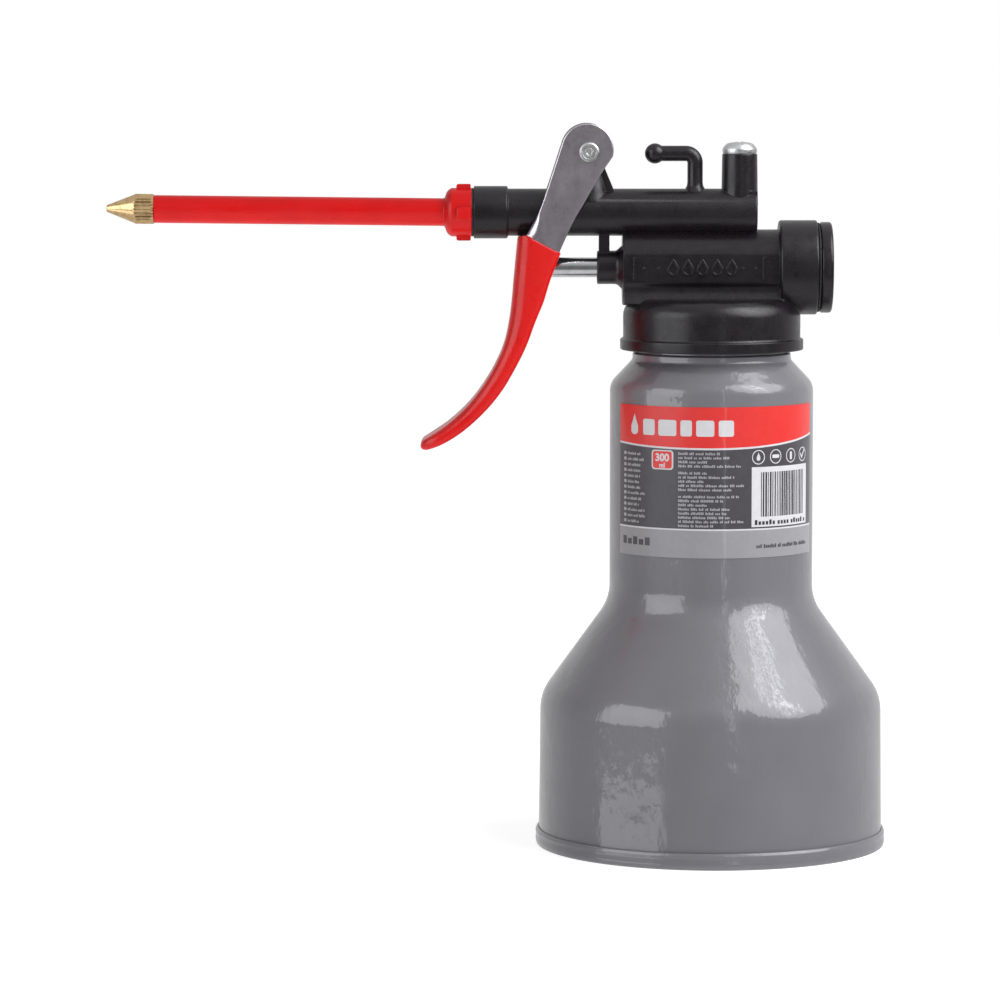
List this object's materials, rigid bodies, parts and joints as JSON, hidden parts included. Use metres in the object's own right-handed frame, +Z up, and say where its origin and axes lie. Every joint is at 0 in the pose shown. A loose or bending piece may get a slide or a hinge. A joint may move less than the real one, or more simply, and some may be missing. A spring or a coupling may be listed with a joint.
{
  "type": "pump oil can",
  "caption": "Pistol-grip pump oiler: waisted metal can, screw-on pump head with squeeze lever, plunger, ball valves and a screwed straight spout with a knurled tip.",
  "frame": {"origin": "on the can's axis, in the plane the base rim stands on; the recessed base panel is 1 mm above it", "axes": "+Z up along the can's axis, the spout points along -X and the pump's rear plug along +X, Y is across the lever"},
  "size_m": [0.1773, 0.08, 0.1645],
  "materials": {
    "can_paint": "gloss grey enamel",
    "label_print": "printed wrap, gloss",
    "black_plastic": "moulded, satin",
    "red_plastic": "moulded, satin",
    "red_dip": "dipped, gloss",
    "lever_steel": "zinc plated",
    "rod_steel": "polished",
    "spring_steel": "bright",
    "brass": "turned",
    "seal_rubber": "matte",
    "suction_pipe": "translucent white, plain"
  },
  "bodies": {
    "can": {"can_shell": "can_paint", "can_base": "can_paint", "label": "label_print"},
    "neck_seal": {"neck_gasket": "seal_rubber"},
    "head": {"pump_body": "black_plastic", "rear_plug": "black_plastic", "plug_gasket": "seal_rubber", "valve_screw": "spring_steel", "valve_washer": "seal_rubber", "outlet_spring": "spring_steel", "return_spring": "spring_steel", "rod_seal": "seal_rubber", "inlet_seat": "brass", "suction_tube": "suction_pipe", "pivot_rivet": "spring_steel"},
    "lever": {"lever_channel": "lever_steel", "lever_grip": "red_dip"},
    "plunger": {"push_rod": "rod_steel", "piston": "black_plastic", "piston_cup": "seal_rubber", "piston_nut": "spring_steel"},
    "outlet_valve": {"outlet_ball": "rod_steel"},
    "inlet_valve": {"inlet_ball": "rod_steel"},
    "spout_seal": {"spout_washer": "seal_rubber"},
    "spout": {"spout_tube": "red_plastic", "nozzle_tip": "brass"}
  },
  "joints": [
    {"name": "head_rise", "type": "slide", "parent": "can", "child": "neck_seal", "axis": [0, 0, 1], "range_m": [0, 0.006]},
    {"name": "head_unscrew", "type": "hinge", "parent": "neck_seal", "child": "head", "pos_m": [0, 0, 0.12], "axis": [0, 0, 1], "range_deg": [0, 720.2]},
    {"name": "lever_pivot", "type": "hinge", "parent": "head", "child": "lever", "pos_m": [-0.028, 0, 0.1581], "axis": [0, -1, 0], "range_deg": [0, 22]},
    {"name": "plunger_slide", "type": "slide", "parent": "head", "child": "plunger", "axis": [1, 0, 0], "range_m": [0, 0.00972], "stiffness_N_per_m": 600, "springref_m": -0.004, "deforming": ["return_spring"]},
    {"name": "outlet_lift", "type": "slide", "parent": "head", "child": "outlet_valve", "axis": [0, 0, 1], "range_m": [0, 0.0012], "stiffness_N_per_m": 20, "springref_m": -0.002, "deforming": ["outlet_spring"]},
    {"name": "inlet_lift", "type": "slide", "parent": "head", "child": "inlet_valve", "axis": [0, 0, 1], "range_m": [0, 0.0012]},
    {"name": "spout_draw", "type": "slide", "parent": "head", "child": "spout_seal", "axis": [-1, 0, 0], "range_m": [0, 0.006]},
    {"name": "spout_unscrew", "type": "hinge", "parent": "spout_seal", "child": "spout", "pos_m": [-0.054, 0, 0.1444], "axis": [-1, 0, 0], "range_deg": [0, 1080.3]}
  ],
  "couplings": [
    {"joint": "head_unscrew", "follows": "head_rise", "rad_per_m": 2094.4},
    {"joint": "lever_pivot", "follows": "plunger_slide", "rad_per_m": 39.479},
    {"joint": "spout_unscrew", "follows": "spout_draw", "rad_per_m": 3141.6}
  ]
}
